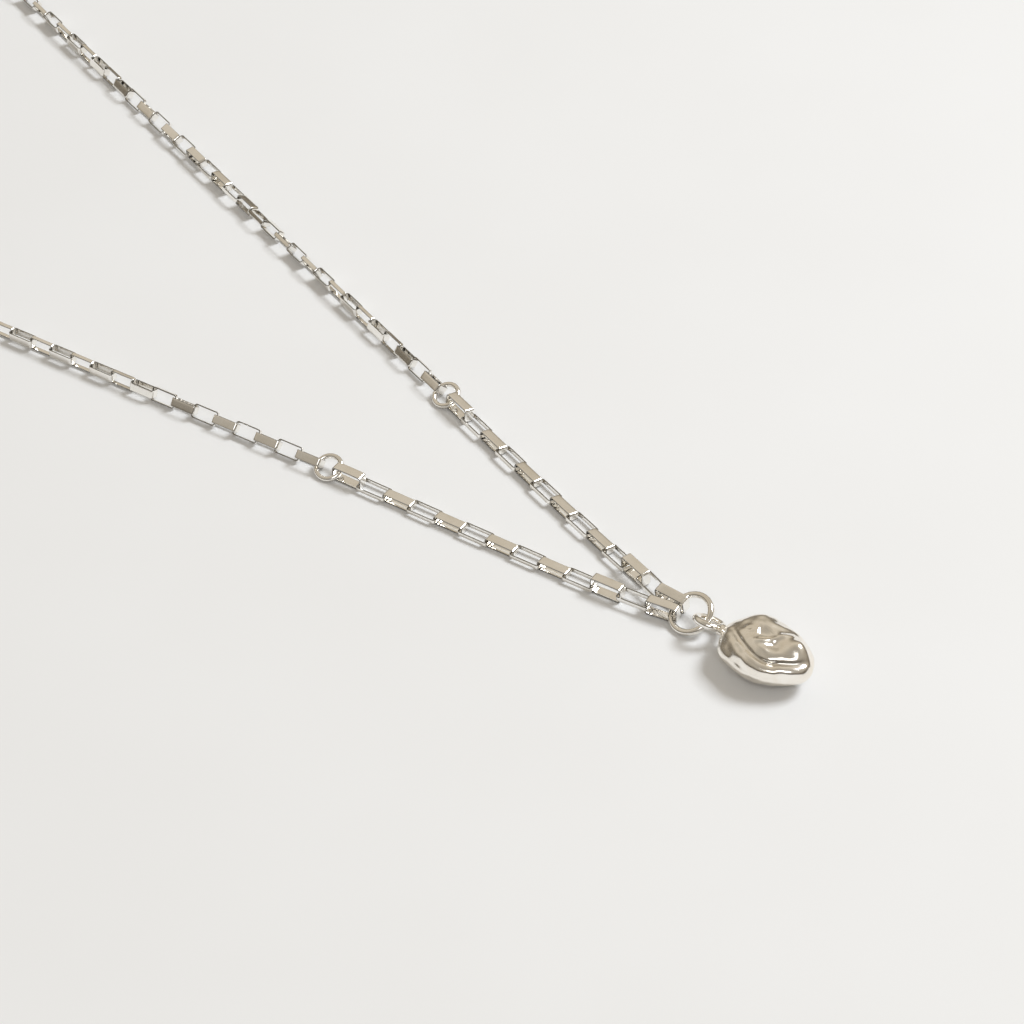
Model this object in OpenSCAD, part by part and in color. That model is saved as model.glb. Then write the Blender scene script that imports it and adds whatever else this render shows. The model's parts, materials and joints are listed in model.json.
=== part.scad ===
// Pendant necklace laid open on a flat surface, front towards -Y, ends apart at the back.
// Two arms of large flat-strip links meet at a round pendant ring. Each arm goes on through a small
// join ring into a finer chain of the same pattern. The sizes below are laid out around the centre of
// the pendant ring, and the whole is then moved so that the origin lies on the surface under the
// middle of the necklace.

/* [Large chain] */
// Number of large links in each arm
large_count = 13; // [9:2:13]
// Outside length of a large link
large_len = 3.62; // [3.58:0.01:3.68]
// Outside height of a large link's hoop
large_high = 1.85; // [1.8:0.05:2]
// Width of a large link's strip
large_wide = 1.1; // [1:0.05:1.15]
// Outside height of a standing large link along the arms
standing_high = 1.0; // [1:0.05:1.2]
// Outside height of the standing link at the join ring
end_high = 1.7; // [1.6:0.05:1.85]
// Width of a lying large link's strip
lying_wide = 0.46; // [0.4:0.02:0.56]
// Thickness of a large link's strip
large_thick = 0.16; // [0.14:0.01:0.18]

/* [Small chain] */
// Number of small links in each arm
small_count = 60; // [60:60]
// Outside length of a small link
small_len = 3.08; // [3.04:0.01:3.12]
// Outside height of a small link's hoop
small_high = 1.6; // [1.55:0.05:1.7]
// Width of a small link's strip
small_wide = 0.92; // [0.85:0.01:0.96]
// Outside height of every second small link
small_low = 1.2; // [1.1:0.05:1.6]
// Width of the strip of the small links between those
small_narrow = 0.45; // [0.4:0.05:0.92]
// Thickness of a small link's strip
small_thick = 0.14; // [0.12:0.01:0.15]

/* [Rings] */
// Outside diameter of the pendant ring
ring_od = 5; // [4.8:0.1:5.2]
// Wire diameter of the pendant ring
ring_wire = 0.7; // [0.6:0.05:0.75]
// Outside diameter of the join rings and end rings
join_od = 3.3; // [3.2:0.05:3.5]
// Wire diameter of the join rings
join_wire = 0.55; // [0.5:0.01:0.58]
// Wire diameter of the rings at the clasp and at the far end
end_wire = 0.45; // [0.4:0.01:0.48]

/* [Pendant] */
// Outside diameter of the bail that is soldered into the nugget's tip
bail_od = 3.7; // [3.5:0.1:3.8]
// Wire diameter of the bail
bail_wire = 0.8; // [0.7:0.05:0.85]
// Length of the nugget
nugget_len = 10.6; // [10:0.1:11.5]
// Width of the nugget
nugget_wide = 7.9; // [7.5:0.1:8.4]
// Thickness of the nugget
nugget_thick = 4.8; // [4.4:0.1:5]

/* [Clasp] */
// Outside diameter of the bolt ring clasp
clasp_od = 6; // [5.5:0.1:6.5]
// Outside diameter of the clasp's tube
clasp_tube = 1.3; // [1.2:0.05:1.4]
// Opening angle of the clasp's mouth
mouth_angle = 42; // [36:1:46]

/* [Hidden] */
$fn = 72;
clear = 0.06;
strip_gap = 0.1;
chamfer = 0.18;

large_pitch = large_len - 2 * large_thick - strip_gap;
small_pitch = small_len - 2 * small_thick - strip_gap;
group_size = 6;
group_count = small_count / group_size;

ring_r = (ring_od - ring_wire) / 2;
join_r = (join_od - join_wire) / 2;
end_r = (join_od - end_wire) / 2;
bail_r = (bail_od - bail_wire) / 2;
clasp_r = (clasp_od - clasp_tube) / 2;

// The pendant ring leans on the surface: it is low on the left and back, high on the right.
ring_lean = 28;
low_heading = 170;
ring_z = ring_r * sin(ring_lean) + ring_wire / 2;

// The join rings lean the other way, along the chain that they sit in.
join_lean = -25;

// Where each arm's first link lies, and how far along the small chain the arms turn inwards.
left_first = [-1.16, 2.8];
right_first = [0.42, 2.94];
turn_from = 42;
left_turn = 36;
right_turn = 46;

// The right arm lies slack at its start, so those links sit closer together.
// Its first two are also propped up on the pendant ring.
slack_heading = [95.3, 77.3, 79.5];
slack_roll = [-11, -6.5, -1, 5];
slack_take = [0.27, 0.3, 0.25, 0.15];
slack_lift = [0.27, 0.14];

function ray(a) = [cos(a), sin(a)];
function ease(x) = let (c = max(0, min(1, x))) c * c * (3 - 2 * c);
function turned(k, total) = total * max(0, k - turn_from) / (small_count - turn_from);

function left_large_heading(n) = 100.5 + 6.5 * exp(-(n - 1) / 1.4);
function left_small_heading(k) = 101.5 - turned(k, left_turn);
function right_large_heading(n) = n <= 3 ? slack_heading[n - 1] : 78 + 2.6 * exp(-(n - 3) / 4);
function right_small_heading(k) = 78.3 + turned(k, right_turn);

// Roll of each link about the chain's own line, away from lying square on the surface.
function left_large_roll(n) = 0;
function right_large_roll(n) = n <= 4 ? slack_roll[n - 1] : 8;
function right_large_lift(n) = n <= 2 ? slack_lift[n - 1] : 0;
function left_small_roll(k) = -45 - 45 * ease((k - 5) / 7) - 90 * ease((k - 24) / 18) - 90 * ease((k - 40) / 18);
function right_small_roll(k) = -45 - 405 * max(0, min(1, (k - 1.5) / 49.4));

// A row of link centres: each joint lies half a pitch from both of its links.
function walk(start, headings, steps) = [
    for (i = 0, p = start; i < len(headings);
        p = p + steps[i] / 2 * (ray(headings[i]) + ray(headings[min(i + 1, len(headings) - 1)])), i = i + 1) p
];

left_large_at = walk(
    left_first,
    [for (n = [1:large_count]) left_large_heading(n)],
    [for (n = [1:large_count]) large_pitch]);
right_large_at = walk(
    right_first,
    [for (n = [1:large_count]) right_large_heading(n)],
    [for (n = [1:large_count]) large_pitch - (n <= 4 ? slack_take[n - 1] : 0)]);

// A ring's wire passes inside the end of a link, clear of the end bar's two corners.
function ring_dip(r, wide) = r - sqrt(r * r - wide * wide / 4);
function ring_reach(len, thick, wide, r, wire) = len / 2 - thick - wire / 2 - clear - ring_dip(r, wide);
large_reach = join_r + ring_reach(large_len, large_thick, large_wide, join_r, join_wire);
small_reach = join_r + ring_reach(small_len, small_thick, small_wide, join_r, join_wire);

left_join_at = left_large_at[large_count - 1] + large_reach * ray(left_large_heading(large_count));
right_join_at = right_large_at[large_count - 1] + large_reach * ray(right_large_heading(large_count));

left_small_at = walk(
    left_join_at + small_reach * ray(left_small_heading(1)),
    [for (k = [1:small_count]) left_small_heading(k)],
    [for (k = [1:small_count]) small_pitch]);
right_small_at = walk(
    right_join_at + small_reach * ray(right_small_heading(1)),
    [for (k = [1:small_count]) right_small_heading(k)],
    [for (k = [1:small_count]) small_pitch]);

// Height of the chain's line. The small chain turns over, so it clears the surface at any roll.
function half_height(high, wide, roll) = high / 2 * abs(cos(roll)) + wide / 2 * abs(sin(roll));
first_z = half_height(large_high, large_wide, 8);
function is_standing(n) = n % 2 == 1;
function rest_high(n) = n <= 3 ? large_high : n == large_count ? end_high : standing_high;
function large_link_high(n) = is_standing(n) ? rest_high(n) : large_high;
function large_link_wide(n) = is_standing(n) ? large_wide : lying_wide;
function left_large_z(n) = half_height(rest_high(n), large_wide, left_large_roll(n));
function right_large_z(n) =
    n <= 3 ? first_z + right_large_lift(n) : half_height(rest_high(n), large_wide, right_large_roll(n));
function small_link_high(k) = k > 1 && is_standing(k) ? small_low : small_high;
function small_link_wide(k) = is_standing(k) ? small_wide : small_narrow;
small_z = norm([small_high, small_wide]) / 2;
join_z = join_r * sin(abs(join_lean)) + join_wire / 2;

left_end = left_small_at[small_count - 1];
left_end_heading = left_small_heading(small_count);
right_end = right_small_at[small_count - 1];
right_end_heading = right_small_heading(small_count);
end_reach = end_r + ring_reach(small_len, small_thick, small_wide, end_r, end_wire);
clasp_ring_at = left_end + end_reach * ray(left_end_heading);
end_ring_at = right_end + end_reach * ray(right_end_heading);

// The clasp's tab is a small wire eye that stands upright, soldered to the tube at one end.
tab_wire = 0.45;
tab_r = 0.55;
tab_out = clasp_od / 2 + tab_r - 0.05;
clasp_at = clasp_ring_at + (end_r + tab_out + 0.03) * ray(left_end_heading);
clasp_z = tab_r + tab_wire / 2;
clasp_ring_z = clasp_z - 0.06;

// The end ring rests its far side on the surface and its near side in the last link.
end_ring_near_z = small_z - small_high / 2 + small_thick + end_wire / 2 + clear;
end_ring_pitch = asin((end_ring_near_z - end_wire / 2) / (2 * end_r));
end_ring_z = (end_ring_near_z + end_wire / 2) / 2;

// Angles around the clasp, from the tab. The mouth faces away from the tab and to the side.
mouth_from = 120;
mouth_to = mouth_from + mouth_angle;
bolt_back = 66;
bolt_nose = mouth_to + 4;
knob_angle = 100;
bore_back = 8;
slot_from = knob_angle - mouth_angle - 9;
slot_to = knob_angle + 9;
tube_bore_r = clasp_tube / 2 - 0.17;
bolt_r = tube_bore_r - 0.06;
knob_r = 0.26;

// The nugget runs from its tip, at the bail, towards -Y.
bail_at = [-0.06, -2.55, 1.78];
bail_lean = 33;
tip_y = -4.3;

// The middle of the necklace, from the reach of its two arms, its nugget and its clasp.
low_x = min([for (p = left_small_at) p[0]]) - small_high / 2;
high_x = max([for (p = right_small_at) p[0]]) + small_high / 2;
low_y = tip_y - nugget_len;
high_y = clasp_at[1] + clasp_od / 2;
middle = [(low_x + high_x) / 2, (low_y + high_y) / 2];

function two_digits(n) = str(n < 10 ? "0" : "", n);

// Moves the layout so that its middle is over the origin.
module laid() {
    translate([-middle[0], -middle[1], 0])
        children();
}

// A torus lying flat, centred on the origin.
module wire_ring(r, wire) {
    rotate_extrude()
        translate([r, 0])
            circle(d = wire);
}

// Outline of a hoop with cut corners.
module hoop_outline(len, high, cut) {
    x = len / 2;
    y = high / 2;
    polygon([
        [x - cut, y], [-x + cut, y], [-x, y - cut], [-x, -y + cut],
        [-x + cut, -y], [x - cut, -y], [x, -y + cut], [x, y - cut]
    ]);
}

// One link: a flat strip bent into a hoop, its length along X and its loop's axis along Z.
module link(len, high, wide, thick) {
    inner_cut = chamfer - thick * tan(22.5);
    translate([0, 0, -wide / 2])
        linear_extrude(wide)
            difference() {
                hoop_outline(len, high, chamfer);
                hoop_outline(len - 2 * thick, high - 2 * thick, inner_cut);
            }
}

// Links alternate between standing (loop's axis level) and lying (loop's axis up).
module large_link(at, z, heading, roll, n) {
    color("silver")
        translate([at[0], at[1], z])
            rotate([roll + (is_standing(n) ? 90 : 0), 0, heading])
                link(large_len, large_link_high(n), large_link_wide(n), large_thick);
}

module small_link(at, heading, roll, k) {
    color("silver")
        translate([at[0], at[1], small_z])
            rotate([roll + (is_standing(k) ? 90 : 0), 0, heading])
                link(small_len, small_link_high(k), small_link_wide(k), small_thick);
}

module left_link(n) {
    large_link(left_large_at[n - 1], left_large_z(n), left_large_heading(n), left_large_roll(n), n);
}

module right_link(n) {
    large_link(right_large_at[n - 1], right_large_z(n), right_large_heading(n), right_large_roll(n), n);
}

// A run of small links: one numbered group of the fine chain.
module left_chain(g) {
    for (k = [(g - 1) * group_size + 1:g * group_size])
        small_link(left_small_at[k - 1], left_small_heading(k), left_small_roll(k), k);
}

module right_chain(g) {
    for (k = [(g - 1) * group_size + 1:g * group_size])
        small_link(right_small_at[k - 1], right_small_heading(k), right_small_roll(k), k);
}

// A join ring leans about the chain's line, so the wire runs nearly level through both links.
module join_ring(at, heading) {
    color("gainsboro")
        translate([at[0], at[1], join_z])
            rotate([join_lean, 0, heading])
                wire_ring(join_r, join_wire);
}

module clasp_jump_ring() {
    color("gainsboro")
        translate([clasp_ring_at[0], clasp_ring_at[1], clasp_ring_z])
            wire_ring(end_r, end_wire);
}

module end_ring() {
    color("gainsboro")
        translate([end_ring_at[0], end_ring_at[1], end_ring_z])
            rotate([0, end_ring_pitch, right_end_heading])
                wire_ring(end_r, end_wire);
}

module pendant_ring() {
    color("gainsboro")
        translate([0, 0, ring_z])
            rotate([0, -ring_lean, low_heading - 180])
                wire_ring(ring_r, ring_wire);
}

module pendant_bail() {
    color("gainsboro")
        translate(bail_at)
            rotate([0, bail_lean, 6])
                wire_ring(bail_r, bail_wire);
}

// A lobe of the nugget: how far it lies from the tip and across, its radius and its height.
module lobe(along, across, r, z) {
    translate([across * nugget_wide, tip_y - along * nugget_len, z])
        sphere(r, $fn = 32);
}

// The cast nugget: an irregular pebble that rests on three of its lobes.
module pendant_nugget() {
    low = nugget_thick * 0.42;
    high = nugget_thick - nugget_thick * 0.38;
    color("silver")
        hull() {
            lobe(0.1, 0, nugget_len * 0.1, 2.25);
            lobe(0.3, -0.2, nugget_thick * 0.4, nugget_thick * 0.4);
            lobe(0.34, 0.22, nugget_thick * 0.38, high);
            lobe(0.6, -0.24, low, low);
            lobe(0.62, 0.23, low, low);
            lobe(0.78, 0.02, nugget_thick * 0.44, nugget_thick * 0.44);
            lobe(0.55, 0.05, nugget_thick * 0.38, high);
        }
}

module clasp_place() {
    translate([clasp_at[0], clasp_at[1], clasp_z])
        rotate([0, 0, left_end_heading + 180])
            children();
}

// A bent rod in the clasp's own plane, from one angle to another.
module bent_rod(r, from, to) {
    rotate([0, 0, from])
        rotate_extrude(angle = to - from)
            translate([clasp_r, 0])
                circle(r);
}

// The clasp's body: a C of tube, bored where the bolt and spring run and slotted for the knob.
module clasp_body() {
    color("silver")
        clasp_place()
            difference() {
                bent_rod(clasp_tube / 2, mouth_to, mouth_from + 360);
                bent_rod(tube_bore_r, bore_back, mouth_from + 1);
                bent_rod(tube_bore_r, mouth_to - 1, mouth_to + 7);
                rotate([0, 0, slot_from])
                    rotate_extrude(angle = slot_to - slot_from)
                        translate([clasp_r, -knob_r - clear])
                            square([clasp_tube, 2 * (knob_r + clear)]);
            }
}

module clasp_tab() {
    color("gainsboro")
        clasp_place()
            difference() {
                translate([tab_out, 0, 0])
                    rotate([90, 0, 0])
                        wire_ring(tab_r, tab_wire);
                bent_rod(clasp_tube / 2, -30, 30);
            }
}

// The bolt: a bent rod that closes the mouth, with the thumb knob that stands out of the slot.
module clasp_bolt() {
    color("lightgray")
        clasp_place() {
            bent_rod(bolt_r, bolt_back, bolt_nose);
            rotate([0, 0, knob_angle])
                translate([clasp_r, 0, 0])
                    rotate([0, 90, 0])
                        cylinder(r = knob_r, h = clasp_tube / 2 + 0.5);
        }
}

// The coil behind the bolt, as the turns of a fine wire around the tube's centre line.
spring_wire = 0.12;
spring_r = bolt_r - spring_wire / 2 - 0.02;
spring_turns = 9;
spring_steps = 16;
spring_sides = 6;

function spring_point(s, a) =
    let (
        turn = 360 * spring_turns * s,
        along = bore_back + 3 + (bolt_back - bore_back - 6) * s,
        r = spring_r + spring_wire / 2 * cos(a),
        rise = spring_wire / 2 * sin(a) / clasp_r * 57.3,
        out = clasp_r + r * cos(turn)
    )
    [out * cos(along + rise), out * sin(along + rise), r * sin(turn)];

module clasp_spring() {
    rings = spring_turns * spring_steps;
    points = [
        for (i = [0:rings]) for (j = [0:spring_sides - 1])
            spring_point(i / rings, 360 * j / spring_sides)
    ];
    sides = [
        for (i = [0:rings - 1]) for (j = [0:spring_sides - 1])
            let (a = i * spring_sides + j, b = i * spring_sides + (j + 1) % spring_sides)
            [a, b, b + spring_sides, a + spring_sides]
    ];
    near = [[for (j = [0:spring_sides - 1]) spring_sides - 1 - j]];
    far = [[for (j = [0:spring_sides - 1]) rings * spring_sides + j]];
    color("darkgray")
        clasp_place()
            polyhedron(points, concat(near, sides, far));
}

laid() pendant_nugget();
laid() pendant_bail();
laid() pendant_ring();
for (n = [1:large_count]) {
    laid() left_link(n);
    laid() right_link(n);
}
laid() join_ring(left_join_at, left_large_heading(large_count));  // left_join_ring
laid() join_ring(right_join_at, right_large_heading(large_count));  // right_join_ring
for (g = [1:group_count]) {
    laid() left_chain(g);
    laid() right_chain(g);
}
laid() clasp_jump_ring();
laid() clasp_body();
laid() clasp_tab();
laid() clasp_bolt();
laid() clasp_spring();
laid() end_ring();
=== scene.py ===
"""Pendant necklace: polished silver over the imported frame, on a pale floor in soft studio light."""
import json
import math
import random

import bmesh
import bpy
import numpy as np
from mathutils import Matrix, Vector, noise
from mathutils.bvhtree import BVHTree


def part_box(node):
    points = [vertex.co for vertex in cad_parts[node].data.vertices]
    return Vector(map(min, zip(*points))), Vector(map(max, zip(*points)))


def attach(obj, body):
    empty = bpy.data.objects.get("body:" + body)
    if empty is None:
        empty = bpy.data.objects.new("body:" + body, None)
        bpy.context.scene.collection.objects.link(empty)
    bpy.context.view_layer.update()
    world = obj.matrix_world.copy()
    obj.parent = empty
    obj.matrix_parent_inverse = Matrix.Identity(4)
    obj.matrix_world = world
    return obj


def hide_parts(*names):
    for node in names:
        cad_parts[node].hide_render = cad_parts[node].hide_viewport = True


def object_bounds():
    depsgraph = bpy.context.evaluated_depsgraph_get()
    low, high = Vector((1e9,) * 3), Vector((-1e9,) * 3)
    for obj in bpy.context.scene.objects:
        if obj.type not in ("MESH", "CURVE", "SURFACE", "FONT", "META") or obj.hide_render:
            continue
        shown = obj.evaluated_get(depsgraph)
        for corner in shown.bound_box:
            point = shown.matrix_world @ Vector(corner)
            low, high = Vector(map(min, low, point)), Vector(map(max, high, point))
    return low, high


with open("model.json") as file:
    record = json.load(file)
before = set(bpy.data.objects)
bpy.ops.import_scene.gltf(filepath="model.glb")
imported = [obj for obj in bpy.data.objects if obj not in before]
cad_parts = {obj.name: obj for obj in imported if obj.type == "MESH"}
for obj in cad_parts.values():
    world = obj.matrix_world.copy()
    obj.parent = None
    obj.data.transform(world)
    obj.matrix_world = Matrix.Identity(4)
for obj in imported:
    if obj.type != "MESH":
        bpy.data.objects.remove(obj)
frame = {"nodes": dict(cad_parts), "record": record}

MM = 0.001
SEED = 20
CAD_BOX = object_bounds()
NODES = frame["nodes"]
BODY_OF = {n: b for b, ns in frame["record"]["behaviour"]["bodies"].items() for n in ns}
SLOT_OF = {s["node"]: s["material_slot"] for s in frame["record"]["subparts"]}


# ---------------------------------------------------------------- materials

def ramp(tree, source, stops):
    """A colour ramp on a factor, with stops as (place, colour)."""
    made = tree.nodes.new("ShaderNodeValToRGB")
    while len(made.color_ramp.elements) < len(stops):
        made.color_ramp.elements.new(0.5)
    for element, (place, colour) in zip(made.color_ramp.elements, stops):
        element.position = place
        element.color = (*colour, 1)
    tree.links.new(source, made.inputs["Fac"])
    return made.outputs["Color"]


def ranged(tree, source, low, high, start=0.0, end=1.0):
    """A number from start..end mapped to low..high."""
    made = tree.nodes.new("ShaderNodeMapRange")
    made.inputs["From Min"].default_value = start
    made.inputs["From Max"].default_value = end
    made.inputs["To Min"].default_value = low
    made.inputs["To Max"].default_value = high
    tree.links.new(source, made.inputs["Value"])
    return made.outputs["Result"]


def noise_of(tree, vector, scale, detail=4.0, stretch=(1, 1, 1), distortion=0.0):
    """Noise from 0 to 1, at this many cells a metre, or a millimetre for the UV maps of links and rings."""
    mapping = tree.nodes.new("ShaderNodeMapping")
    mapping.inputs["Scale"].default_value = stretch
    tree.links.new(vector, mapping.inputs["Vector"])
    made = tree.nodes.new("ShaderNodeTexNoise")
    made.inputs["Scale"].default_value = scale
    made.inputs["Detail"].default_value = detail
    made.inputs["Distortion"].default_value = distortion
    tree.links.new(mapping.outputs["Vector"], made.inputs["Vector"])
    return made.outputs["Fac"]


def bump(tree, height, strength, distance, under=None):
    """A bumped normal on top of the one given as under."""
    made = tree.nodes.new("ShaderNodeBump")
    made.inputs["Strength"].default_value = strength
    made.inputs["Distance"].default_value = distance
    tree.links.new(height, made.inputs["Height"])
    if under is not None:
        tree.links.new(under, made.inputs["Normal"])
    return made.outputs["Normal"]


def paint_edge_shade(tree, colour, edge):
    """The colour, multiplied down by edge where the second UV layer has 1: painted shade standing in for the
    dark reflections on the strip's rounded side edges.
    """
    marks = tree.nodes.new("ShaderNodeUVMap")
    marks.uv_map = "Sawn"
    split = tree.nodes.new("ShaderNodeSeparateXYZ")
    tree.links.new(marks.outputs["UV"], split.inputs["Vector"])
    shade = ramp(tree, split.outputs["X"], [(0.2, (1, 1, 1)), (0.9, (1 - edge, 1 - edge, 1 - edge))])
    made = tree.nodes.new("ShaderNodeMix")
    made.data_type = "RGBA"
    made.blend_type = "MULTIPLY"
    made.inputs[0].default_value = 1.0
    tree.links.new(colour, made.inputs[6])
    tree.links.new(shade, made.inputs[7])
    return made.outputs[2]


def silver(name, bright, dull, smooth, rough, lines, dents, edge=0.0):
    """Polished silver: a slight uneven tarnish, fine scratches along the strip or wire, small dents.

    bright and dull are the metal's two colours, smooth and rough its two roughnesses, lines the
    strength of the scratches and dents that of the shallow dents. edge is how much darker the strip's
    side edges are painted, a painted shade standing in for their dark reflections; a second UV layer marks
    them.
    """
    made = bpy.data.materials.new(name)
    made.use_nodes = True
    tree = made.node_tree
    shader = tree.nodes["Principled BSDF"]
    shader.inputs["Metallic"].default_value = 1.0
    at = tree.nodes.new("ShaderNodeTexCoord").outputs["Object"]
    along = tree.nodes.new("ShaderNodeUVMap").outputs["UV"]
    tarnish = noise_of(tree, at, 420.0, 5.0, distortion=0.4)
    colour = ramp(tree, tarnish, [(0.3, dull), (0.62, bright)])
    # Painted shade: darkens the strip's side edges to stand in for the dark reflections on their rounded
    # faces.
    if edge:
        colour = paint_edge_shade(tree, colour, edge)
    tree.links.new(colour, shader.inputs["Base Color"])
    streaks = noise_of(tree, along, 1.0, 6.0, stretch=(1.3, 38.0, 1.0))
    smudge = noise_of(tree, at, 1500.0, 3.0)
    mixed = tree.nodes.new("ShaderNodeMix")
    mixed.data_type = "FLOAT"
    mixed.inputs[0].default_value = 0.45
    tree.links.new(streaks, mixed.inputs[2])
    tree.links.new(smudge, mixed.inputs[3])
    tree.links.new(ranged(tree, mixed.outputs[0], smooth, rough, 0.35, 0.68), shader.inputs["Roughness"])
    fine = bump(tree, streaks, lines, 0.004 * MM)
    pits = noise_of(tree, at, 5200.0, 2.0)
    marked = bump(tree, pits, dents * 0.5, 0.006 * MM, fine)
    waves = noise_of(tree, at, 900.0, 2.0)
    tree.links.new(bump(tree, waves, dents, 0.03 * MM, marked), shader.inputs["Normal"])
    return made


MATERIALS = {
    # polished_strip's last number is the painted shade on the strip's side edges.
    "polished_strip": silver(
        "polished_strip", (0.96, 0.94, 0.905), (0.88, 0.85, 0.79), 0.08, 0.2, 0.5, 0.3, 0.62
    ),
    "polished_wire": silver(
        "polished_wire", (0.96, 0.935, 0.89), (0.88, 0.84, 0.77), 0.07, 0.18, 0.35, 0.3
    ),
    "cast_silver": silver(
        "cast_silver", (0.98, 0.945, 0.885), (0.91, 0.85, 0.76), 0.13, 0.25, 0.12, 0.3
    ),
    "spring_wire": silver("spring_wire", (0.62, 0.62, 0.62), (0.45, 0.45, 0.46), 0.25, 0.4, 0.8, 0.4),
}


def floor_material():
    """Matt pale paper with a faint mottle and grain."""
    made = bpy.data.materials.new("floor")
    made.use_nodes = True
    tree = made.node_tree
    shader = tree.nodes["Principled BSDF"]
    shader.inputs["Roughness"].default_value = 0.62
    shader.inputs["Specular IOR Level"].default_value = 0.25
    at = tree.nodes.new("ShaderNodeTexCoord").outputs["Object"]
    mottle = noise_of(tree, at, 30.0, 3.0)
    tree.links.new(
        ramp(tree, mottle, [(0.3, (0.8, 0.803, 0.81)), (0.7, (0.815, 0.82, 0.83))]),
        shader.inputs["Base Color"],
    )
    grain = noise_of(tree, at, 2600.0, 2.0)
    tree.links.new(bump(tree, grain, 0.12, 0.02 * MM), shader.inputs["Normal"])
    return made


# ---------------------------------------------------------------- meshes

def piece(name, points, faces, uvs=None):
    """A smooth-shaded mesh object; uvs has one pair for each corner of each face."""
    mesh = bpy.data.meshes.new(name)
    mesh.from_pydata([tuple(p) for p in points], [], [tuple(f) for f in faces])
    layer = mesh.uv_layers.new(name="UVMap")
    if uvs is not None:
        layer.data.foreach_set("uv", np.asarray(uvs, np.float32).ravel())
    mesh.polygons.foreach_set("use_smooth", [True] * len(mesh.polygons))
    mesh.validate()
    mesh.update()
    made = bpy.data.objects.new(name, mesh)
    bpy.context.scene.collection.objects.link(made)
    return made


def finish_piece(obj, node):
    """Gives the piece its material, slot and body, and hides the CAD node that it stands for."""
    obj.data.materials.append(MATERIALS[SLOT_OF[node]])
    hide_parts(node)
    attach(obj, BODY_OF[node])


def grid_faces(rows, columns):
    """Quads of a sheet of rows x columns points that closes on itself both ways."""
    i, j = np.meshgrid(np.arange(rows), np.arange(columns), indexing="ij")
    a = i * columns + j
    b = i * columns + (j + 1) % columns
    c = ((i + 1) % rows) * columns + (j + 1) % columns
    d = ((i + 1) % rows) * columns + j
    return np.stack([a, b, c, d], -1).reshape(-1, 4)


def grid_uvs(along, around):
    """A pair for each corner of grid_faces; along and around have one entry more than the points."""
    u, v = np.asarray(along), np.asarray(around)
    corners = []
    for di, dj in ((0, 0), (0, 1), (1, 1), (1, 0)):
        i, j = np.meshgrid(np.arange(len(u) - 1), np.arange(len(v) - 1), indexing="ij")
        corners.append(np.stack([u[i + di], v[j + dj]], -1))
    return np.stack(corners, 2).reshape(-1, 2)


def solids_of(node):
    """The separate solids of a CAD node, each as its distinct corner points, from front to back."""
    mesh = NODES[node].data
    co = np.zeros(len(mesh.vertices) * 3)
    mesh.vertices.foreach_get("co", co)
    distinct, index = np.unique(co.reshape(-1, 3).round(7), axis=0, return_inverse=True)
    index = index.reshape(-1)
    root = np.arange(len(distinct))

    def find(k):
        while root[k] != k:
            root[k] = root[root[k]]
            k = root[k]
        return k

    for edge in mesh.edges:
        a, b = find(index[edge.vertices[0]]), find(index[edge.vertices[1]])
        root[max(a, b)] = min(a, b)
    groups = {}
    for k in range(len(distinct)):
        groups.setdefault(find(k), []).append(k)
    found = [distinct[g] for g in groups.values()]
    return sorted(found, key=lambda p: p[:, 1].mean())


def axes_of(points):
    """Centre, axes from the widest spread to the narrowest, and full size along each of them."""
    middle = points.mean(0)
    _, vectors = np.linalg.eigh(np.cov((points - middle).T))
    axes = vectors.T[::-1]
    if axes[0][1] < 0:
        axes[0] = -axes[0]
    if axes[2][2] < 0:
        axes[2] = -axes[2]
    axes[1] = np.cross(axes[2], axes[0])
    spread = (points - middle) @ axes.T
    low, high = spread.min(0), spread.max(0)
    return middle + (low + high) / 2 @ axes, axes, high - low


# ---------------------------------------------------------------- chain links

CORNER = 0.3 * MM
EDGE = 0.035 * MM


def strip_section(wide, thick):
    """The strip's cut end: (outwards, across) points round a rectangle with rounded edges."""
    corners = (
        (thick / 2 - EDGE, wide / 2 - EDGE, 90),
        (thick / 2 - EDGE, -wide / 2 + EDGE, 0),
        (-thick / 2 + EDGE, -wide / 2 + EDGE, -90),
        (-thick / 2 + EDGE, wide / 2 - EDGE, -180),
    )
    made = []
    for number, (out, across, begin) in enumerate(corners):
        for k in range(4):
            a = math.radians(begin - 30 * k)
            made.append((out + EDGE * math.cos(a), across + EDGE * math.sin(a)))
        if number in (0, 2):
            ahead = corners[number + 1]
            turn = math.radians(ahead[2])
            target = (ahead[0] + EDGE * math.cos(turn), ahead[1] + EDGE * math.sin(turn))
            last = made[-1]
            for s in (0.25, 0.5, 0.75):
                made.append((last[0] + (target[0] - last[0]) * s, last[1] + (target[1] - last[1]) * s))
    return np.array(made)


def hoop_path(long, high, thick):
    """The strip's middle line as (x, y, outward x, outward y), round a hoop with bent corners."""
    r = CORNER - thick / 2
    x, y = long / 2 - thick / 2 - r, high / 2 - thick / 2 - r
    sides = (
        (x, y, 0, (-x, y + r), (0, 1), 10),
        (-x, y, 90, (-x - r, -y), (-1, 0), 5),
        (-x, -y, 180, (x, -y - r), (0, -1), 10),
        (x, -y, 270, (x + r, y), (1, 0), 25),
    )
    path = []
    for cx, cy, start, target, face, steps in sides:
        for k in range(7):
            a = math.radians(start + 90 * k / 6)
            path.append((cx + r * math.cos(a), cy + r * math.sin(a), math.cos(a), math.sin(a)))
        last = path[-1]
        for k in range(1, steps):
            s = k / steps
            path.append((last[0] + (target[0] - last[0]) * s, last[1] + (target[1] - last[1]) * s, *face))
    return np.array(path)


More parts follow.
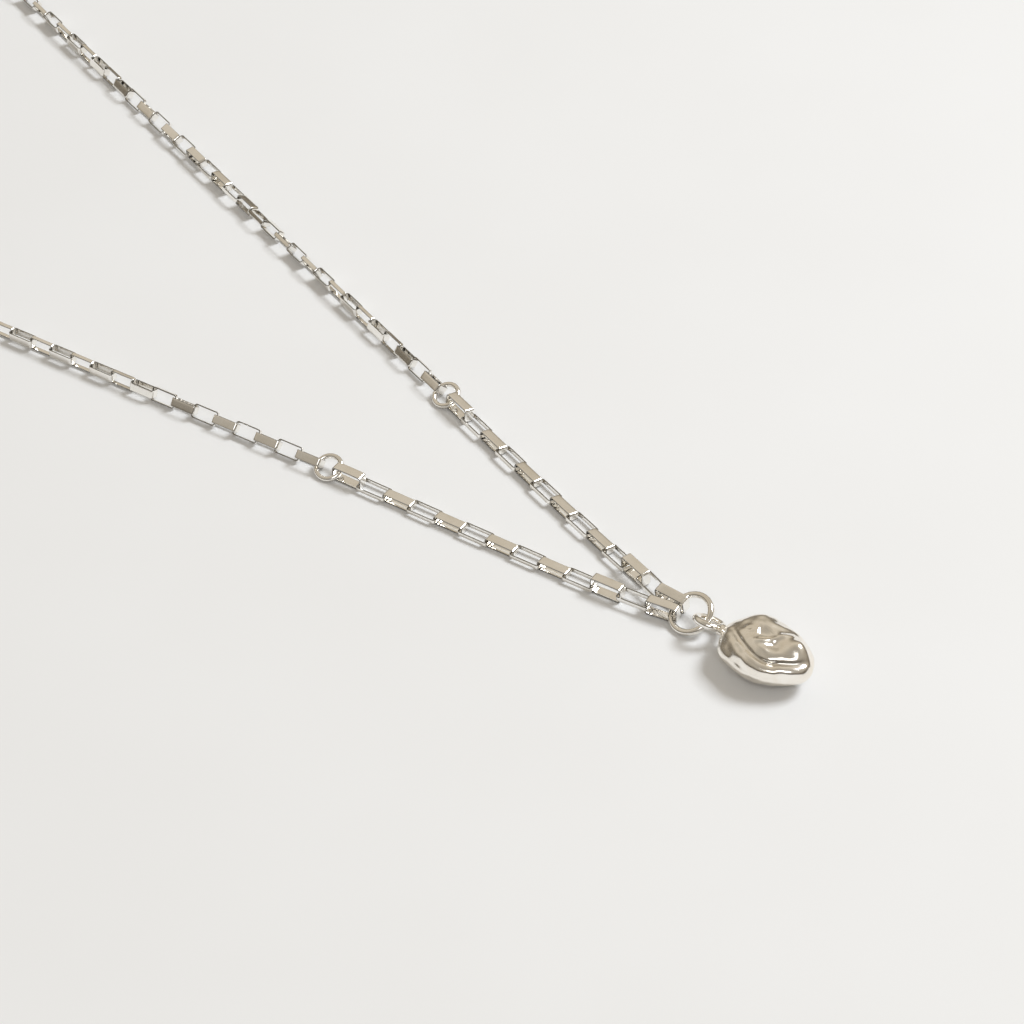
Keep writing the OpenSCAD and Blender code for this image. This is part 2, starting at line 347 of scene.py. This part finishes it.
def link_points(size, thick, rnd):
    """One link in its own axes: a strip bent into a hoop, soldered at the middle of one end."""
    long, high, wide = size
    section = strip_section(wide, thick)
    path = hoop_path(long, high, thick)
    bow_y, bow_z = rnd.uniform(-0.012, 0.012) * MM, rnd.uniform(-0.01, 0.01) * MM
    twist = math.radians(rnd.uniform(-0.8, 0.8))
    rows = []
    for px, py, nx, ny in path:
        from_seam = math.hypot(px - long / 2 + thick / 2, py) / MM
        raised = 0.05 * math.exp(-((from_seam - 0.12) / 0.07) ** 2)
        groove = 0.1 * math.exp(-((from_seam / 0.05) ** 2))
        swell = 1 + raised - groove
        lift = bow_z * (1 - (2 * px / long) ** 2)
        side = bow_y * (1 - (2 * px / long) ** 2)
        for out, across in section:
            thin = 1.0 - 0.05 * (2 * across / wide) ** 2
            o = out * thin * (swell if px > 0 else 1.0)
            x, y, z = px + nx * o, py + ny * o + side, across + lift
            a = twist * px / long * 2
            rows.append((x, y * math.cos(a) - z * math.sin(a), y * math.sin(a) + z * math.cos(a)))
    return np.array(rows), len(path), len(section), path, section


def build_links(node, thick):
    """All links of one node as a single piece, each fitted to its own CAD solid."""
    rnd = random.Random(f"{SEED} {node}")
    points, faces, uvs, marks = [], [], [], []
    for solid in solids_of(node):
        middle, axes, size = axes_of(solid)
        # The strip's width is the way in which every corner lies at one of two distances.
        local = np.abs((solid - middle) @ axes.T) / (size / 2)
        if local[:, 1].mean() > local[:, 2].mean():
            axes = np.array([axes[0], -axes[2], axes[1]])
            size = size[[0, 2, 1]]
        local, rows, columns, path, section = link_points(size, thick, rnd)
        faces.append(grid_faces(rows, columns) + sum(len(p) for p in points))
        points.append(middle + local @ axes)
        step = np.hypot(*np.diff(np.vstack([path[:, :2], path[:1, :2]]), axis=0).T) / MM
        round_it = np.hypot(*np.diff(np.vstack([section, section[:1]]), axis=0).T) / MM
        # Marks for the painted edge shade: 1 on the strip's side edges, where the colour is darkened to stand
        # in for dark reflections.
        on_edge = np.abs(section[:, 1]) > np.abs(section[:, 1]).max() - EDGE * 0.6
        on_edge = np.append(on_edge, on_edge[0]).astype(float)
        marks.append(grid_uvs(np.zeros(rows + 1), on_edge)[:, ::-1])
        shift = rnd.uniform(0, 40)
        uvs.append(grid_uvs(shift + np.append(0, step.cumsum()), shift + np.append(0, round_it.cumsum())))
    obj = piece("silver_" + node, np.vstack(points), np.vstack(faces), np.vstack(uvs))
    # The marks go in a second UV layer, which the strip material reads for its painted edge shade.
    edge_shade_layer = obj.data.uv_layers.new(name="Sawn")
    edge_shade_layer.data.foreach_set("uv", np.vstack(marks).astype(np.float32).ravel())
    obj.data.uv_layers.active_index = 0
    finish_piece(obj, node)


LARGE_THICK = 0.16 * MM
SMALL_THICK = 0.14 * MM

for node_name in sorted(NODES):
    if "_link_" in node_name:
        build_links(node_name, LARGE_THICK)
    elif "_chain_" in node_name:
        build_links(node_name, SMALL_THICK)


# ---------------------------------------------------------------- rings

def build_ring(node, seam_at, flat=0.015):
    """A round wire ring, soldered closed: the joint is a faint groove between two low swellings."""
    rnd = random.Random(f"{SEED} {node}")
    mesh = NODES[node].data
    co = np.zeros(len(mesh.vertices) * 3)
    mesh.vertices.foreach_get("co", co)
    middle, axes, size = axes_of(np.unique(co.reshape(-1, 3).round(7), axis=0))
    wire = size[2] / 2
    radius = (size[0] + size[1]) / 4 - wire
    rows, columns = 160, 28
    points = []
    for i in range(rows):
        a = 2 * math.pi * i / rows
        gap = (math.degrees(a) - seam_at + 180) % 360 - 180
        away = abs(math.radians(gap)) * radius / MM
        raised = 0.035 * math.exp(-((away - 0.13) / 0.07) ** 2)
        groove = 0.07 * math.exp(-(away / 0.035) ** 2)
        swell = 1 + raised - groove
        swell *= 1 - flat * (0.5 + 0.5 * math.sin(3 * a + rnd.random() * 0.02))
        for j in range(columns):
            b = 2 * math.pi * j / columns
            out = radius + wire * swell * math.cos(b)
            points.append((out * math.cos(a), out * math.sin(a), wire * swell * math.sin(b)))
    along = np.linspace(0, 2 * math.pi * radius / MM, rows + 1)
    around = np.linspace(0, 2 * math.pi * wire / MM, columns + 1)
    obj = piece(
        "silver_" + node, middle + np.array(points) @ axes, grid_faces(rows, columns), grid_uvs(along, around)
    )
    finish_piece(obj, node)


for ring_name, seam in (
    ("pendant_ring", 150), ("pendant_bail", 200), ("left_join_ring", 70), ("right_join_ring", 250),
    ("clasp_jump_ring", 110), ("end_ring", 60),
):
    build_ring(ring_name, seam)


# ---------------------------------------------------------------- nugget

# Folds, as lines of points from the middle of the nugget's box in mm, how wide the fold is and how
# far it stands out or, when negative, lies in.
FOLDS = [
    ("rim", 0.62, 0.26, [(-0.6, 4.2, 0.9), (-2.1, 2.1, 1.3), (-2.9, 0.4, 1.0), (-3.2, -1.0, 1.0),
                         (-2.9, -2.3, 0.8), (-1.9, -3.5, 0.9), (-1.1, -4.4, 0.7), (0.3, -5.0, 0.8)]),
    ("rim crease", 0.24, -0.34, [(-0.6, 3.6, 1.5), (-1.5, 2.0, 1.7), (-2.2, 0.4, 1.6), (-2.5, -0.8, 1.5),
                                (-2.3, -2.0, 1.4), (-1.6, -2.9, 1.4), (-0.8, -3.9, 1.4), (0.3, -4.6, 1.3)]),
    ("end lip", 0.6, 0.14, [(1.6, -4.5, 0.9), (2.8, -3.7, 1.1), (3.3, -2.5, 1.2), (3.2, -1.2, 1.3),
                            (2.4, -0.6, 1.8)]),
    ("end crease", 0.3, -0.2, [(1.6, -4.0, 1.5), (2.3, -3.3, 1.7), (2.5, -2.4, 1.8), (2.2, -1.6, 2.0)]),
    ("s ridge", 0.36, 0.2, [(2.2, -1.9, 1.8), (1.5, -1.4, 2.1), (0.5, -0.9, 2.3), (-0.4, -0.4, 2.2),
                            (-1.0, 0.5, 1.9)]),
    ("s valley", 0.9, -0.36, [(1.0, 0.1, 2.2), (0.5, 0.2, 2.3), (0.1, 1.0, 2.2)]),
    ("wave", 0.42, 0.12, [(-0.4, 3.2, 1.5), (-0.9, 2.0, 1.8), (-1.2, 0.6, 1.9), (-1.5, -0.7, 1.8),
                          (-1.3, -1.8, 1.8), (-0.7, -2.9, 1.8)]),
    ("side fold", 0.3, -0.08, [(-3.1, 1.6, 0.2), (-3.5, 0.2, 0.3), (-3.4, -1.6, 0.3), (-2.6, -3.1, 0.2),
                               (-1.2, -4.6, 0.2)]),
]
BUMPS = [
    ("ball", 1.25, 0.75, (1.0, -3.0, 1.8)),
    ("hollow", 0.85, -0.5, (-0.2, -1.3, 2.1)),
    ("dimple rim", 0.55, 0.2, (0.0, 1.9, 2.0)),
    ("dimple", 0.24, -0.24, (0.02, 1.92, 2.05)),
    ("dip", 0.3, -0.12, (-2.2, -2.4, 1.3)),
]


def distance_to_line(points, line):
    """Distance of each point to a smooth line through the given ones."""
    line = np.array(line, float)
    for _ in range(3):
        cut = np.empty((len(line) * 2 - 2, 3))
        cut[0::2] = line[:-1] * 0.75 + line[1:] * 0.25
        cut[1::2] = line[:-1] * 0.25 + line[1:] * 0.75
        line = np.vstack([line[:1], cut, line[-1:]])
    best = np.full(len(points), 1e9)
    where = np.zeros(len(points))
    for k in range(len(line) - 1):
        a, b = line[k], line[k + 1]
        along = np.clip((points - a) @ (b - a) / max((b - a) @ (b - a), 1e-12), 0, 1)
        d = np.linalg.norm(points - (a + along[:, None] * (b - a)), axis=1)
        nearer = d < best
        best[nearer] = d[nearer]
        where[nearer] = ((k + along) / (len(line) - 1))[nearer]
    return best, where


def build_nugget():
    """The cast nugget: a ball cast onto the CAD hull, smoothed, then folded and set to the hull's size."""
    node = "pendant_nugget"
    source = NODES[node].data
    low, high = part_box(node)
    middle = (low + high) / 2
    tree = BVHTree.FromPolygons(
        [v.co - middle for v in source.vertices], [tuple(p.vertices) for p in source.polygons]
    )
    ball = bmesh.new()
    bmesh.ops.create_icosphere(ball, subdivisions=7, radius=1.0)
    ways = np.array([v.co for v in ball.verts])
    faces = [tuple(v.index for v in f.verts) for f in ball.faces]
    edges = np.array([(e.verts[0].index, e.verts[1].index) for e in ball.edges])
    ball.free()
    points = np.empty_like(ways)
    for k, way in enumerate(ways):
        hit = tree.ray_cast(Vector(way) * 0.05, -Vector(way))[0]
        points[k] = hit if hit is not None else Vector(way) * 0.003
    degree = np.bincount(edges.ravel(), minlength=len(points))[:, None]

    def relax(p, times, amount):
        for _ in range(times):
            total = np.zeros_like(p)
            np.add.at(total, edges[:, 0], p[edges[:, 1]])
            np.add.at(total, edges[:, 1], p[edges[:, 0]])
            p = p + amount * (total / degree - p)
        return p

    def normals(p):
        tri = np.array(faces)
        n = np.cross(p[tri[:, 1]] - p[tri[:, 0]], p[tri[:, 2]] - p[tri[:, 0]])
        total = np.zeros_like(p)
        for c in range(3):
            np.add.at(total, tri[:, c], n)
        return total / np.linalg.norm(total, axis=1)[:, None]

    half = np.array(high - low) / 2
    points = relax(points, 420, 0.5)
    points *= half / np.abs(points).max(0) * 0.985
    inside = points / MM
    out = normals(points)
    move = np.zeros(len(points))
    for _, wide, tall, line in FOLDS:
        d, where = distance_to_line(inside, line)
        fade = np.clip(np.minimum(where, 1 - where) * 5, 0, 1)
        move += tall * np.exp(-((d / wide) ** 2)) * (0.35 + 0.65 * fade)
    for _, wide, tall, spot in BUMPS:
        d = np.linalg.norm(inside - np.array(spot), axis=1)
        move += tall * np.exp(-((d / wide) ** 2))
    for k, p in enumerate(inside):
        at = Vector(p)
        move[k] += 0.16 * noise.noise(at * 0.45 + Vector((3, 1, 7)))
        move[k] += 0.075 * noise.noise(at * 1.2 + Vector((9, 4, 2)))
    points = points + out * (move * MM)[:, None]
    points = relax(points, 10, 0.4)
    points *= half / np.abs(points).max(0)
    lower = np.clip(-points[:, 2] / half[2], 0, 1)
    points[:, :2] *= (1 - 0.16 * lower**1.5)[:, None]
    stretch = np.clip((half[1] - points[:, 1]) / (2 * half[1]), 0, 1) ** 1.5
    points[:, 1] -= 0.62 * MM * stretch
    points[:, 0] += 0.5 * MM * stretch
    obj = piece("silver_pendant_nugget", points + np.array(middle), faces)
    lay = obj.data.uv_layers[0]
    verts = np.zeros(len(obj.data.loops), int)
    obj.data.loops.foreach_get("vertex_index", verts)
    lay.data.foreach_set("uv", (inside[verts][:, :2] * 0.6).astype(np.float32).ravel())
    finish_piece(obj, node)
    return obj


def build_neck(nugget):
    """The cast neck between the nugget and the bail's wire, flared into both."""
    low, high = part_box("pendant_bail")
    bail = (low + high) / 2
    tree = BVHTree.FromPolygons(
        [v.co.copy() for v in nugget.data.vertices], [tuple(p.vertices) for p in nugget.data.polygons]
    )
    nugget_low, nugget_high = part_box("pendant_nugget")
    nugget_middle = (nugget_low + nugget_high) / 2
    body = Vector((bail.x, nugget_middle.y, bail.z)) * 0.9 + nugget_middle * 0.1
    way = (body - bail).normalized()
    hit = tree.ray_cast(bail, way)[0]
    mesh = NODES["pendant_bail"].data
    wire = max(v.co.dot(way) for v in mesh.vertices) - bail.dot(way)
    start = bail + way * (wire - 0.62 * MM)
    length = (hit - start).length + 0.75 * MM
    side = way.cross(Vector((0, 0, 1))).normalized()
    over = side.cross(way)
    rows, columns = 30, 40
    points = []
    for i in range(rows):
        s = i / (rows - 1)
        cap = math.sin(min(1.0, s / 0.16) * math.pi / 2)
        r = (0.66 - 0.08 * math.sin(math.pi * min(1.0, s * 1.5)) + 0.75 * max(0.0, s - 0.4) ** 1.6) * MM * cap
        for j in range(columns):
            b = 2 * math.pi * j / columns
            wobble = 1 + 0.05 * math.sin(2 * b + 4 * s) + 0.03 * math.sin(3 * b)
            outward = side * math.cos(b) * 1.15 + over * math.sin(b)
            points.append(start + way * (s * length) + outward * r * wobble)
    faces = [
        (i * columns + j, i * columns + (j + 1) % columns, (i + 1) * columns + (j + 1) % columns,
         (i + 1) * columns + j)
        for i in range(rows - 1) for j in range(columns)
    ]
    faces.append(tuple(range(columns))[::-1])
    faces.append(tuple(range((rows - 1) * columns, rows * columns)))
    obj = piece("silver_pendant_neck", points, faces)
    obj.data.materials.append(MATERIALS["cast_silver"])
    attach(obj, BODY_OF["pendant_nugget"])


build_neck(build_nugget())


# ---------------------------------------------------------------- clasp: CAD solids, finished in place

for kept in ("clasp_body", "clasp_tab", "clasp_bolt", "clasp_spring"):
    solid = NODES[kept]
    solid.data.materials.clear()
    solid.data.materials.append(MATERIALS[SLOT_OF[kept]])


# ---------------------------------------------------------------- stage, light, camera

low, high = CAD_BOX
centre = (low + high) / 2
FLOOR_REACH = 1.6


def build_floor():
    """A flat square under the necklace, wide enough to reach past the picture."""
    steps = 24
    row = steps + 1
    points = [
        (centre.x + FLOOR_REACH * (2 * i / steps - 1), centre.y + FLOOR_REACH * (2 * j / steps - 1), 0.0)
        for i in range(steps + 1) for j in range(steps + 1)
    ]
    faces = [
        (i * row + j, (i + 1) * row + j, (i + 1) * row + j + 1, i * row + j + 1)
        for i in range(steps) for j in range(steps)
    ]
    made = piece("floor", points, faces)
    made.data.materials.append(floor_material())


build_floor()

# The camera's place from the pendant ring, in mm, and the way it looks.
CAMERA_BACK = 317.195
CAMERA_LEFT = 18.156
CAMERA_HIGH = 300.79
HEADING = math.radians(43.5)
TILT = math.radians(42)
AHEAD = Vector((math.cos(HEADING), math.sin(HEADING), 0))
RIGHT = Vector((math.sin(HEADING), -math.cos(HEADING), 0))
UP = Vector((0, 0, 1))
ring_low, ring_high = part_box("pendant_ring")
ring_at = Vector(((ring_low.x + ring_high.x) / 2, (ring_low.y + ring_high.y) / 2, 0))

camera = bpy.data.objects.new("camera", bpy.data.cameras.new("camera"))
camera.data.lens = 151.2
camera.data.sensor_width = 36
camera.data.clip_start = 0.02
camera.data.clip_end = 20
camera.location = ring_at - AHEAD * CAMERA_BACK * MM - RIGHT * CAMERA_LEFT * MM + UP * CAMERA_HIGH * MM
look = AHEAD * math.cos(TILT) - UP * math.sin(TILT)
camera.rotation_mode = "QUATERNION"
camera.rotation_quaternion = look.to_track_quat("-Z", "Y")
bpy.context.scene.collection.objects.link(camera)
bpy.context.scene.camera = camera


def area_light(name, place, width, depth, power, colour):
    """A soft light at this place from the pendant ring, aimed at it."""
    data = bpy.data.lights.new(name, "AREA")
    data.shape = "RECTANGLE"
    data.size, data.size_y = width, depth
    data.energy = power
    data.color = colour
    made = bpy.data.objects.new(name, data)
    made.location = ring_at + place
    made.rotation_mode = "QUATERNION"
    made.rotation_quaternion = (-place).to_track_quat("-Z", "Y")
    bpy.context.scene.collection.objects.link(made)


area_light("key", RIGHT * 0.62 + AHEAD * 0.3 + UP * 0.8, 0.36, 0.36, 8.7, (0.93, 0.965, 1.0))
area_light("front", AHEAD * -0.75 + UP * 0.85, 0.5, 0.5, 2.0, (0.955, 0.975, 1.0))


def build_world():
    """A soft warm room: brightest part way up, dimmer overhead and near the camera, dark near the floor."""
    world = bpy.data.worlds.new("studio")
    bpy.context.scene.world = world
    world.use_nodes = True
    tree = world.node_tree
    way = tree.nodes.new("ShaderNodeTexCoord").outputs["Generated"]
    split = tree.nodes.new("ShaderNodeSeparateXYZ")
    tree.links.new(way, split.inputs["Vector"])
    rise = ramp(tree, split.outputs["Z"], [
        (0.0, (0.17, 0.145, 0.11)), (0.3, (0.4, 0.35, 0.275)), (0.5, (0.78, 0.7, 0.575)),
        (0.76, (0.83, 0.75, 0.625)), (0.9, (0.68, 0.615, 0.515)), (1.0, (0.6, 0.545, 0.46)),
    ])
    facing = tree.nodes.new("ShaderNodeVectorMath")
    facing.operation = "DOT_PRODUCT"
    facing.inputs[1].default_value = AHEAD
    tree.links.new(way, facing.inputs[0])
    side = ramp(tree, ranged(tree, facing.outputs["Value"], 0.0, 1.0, -1.0, 1.0), [
        (0.0, (0.55, 0.56, 0.59)), (0.3, (0.66, 0.67, 0.69)),
        (0.6, (0.95, 0.95, 0.95)), (1.0, (1.0, 1.0, 1.0)),
    ])
    both = tree.nodes.new("ShaderNodeMix")
    both.data_type = "RGBA"
    both.blend_type = "MULTIPLY"
    both.inputs[0].default_value = 1.0
    tree.links.new(rise, both.inputs[6])
    tree.links.new(side, both.inputs[7])
    background = tree.nodes["Background"]
    tree.links.new(both.outputs[2], background.inputs["Color"])
    background.inputs["Strength"].default_value = 0.75


build_world()
bpy.context.scene.view_settings.view_transform = "Standard"
bpy.context.scene.view_settings.look = "None"
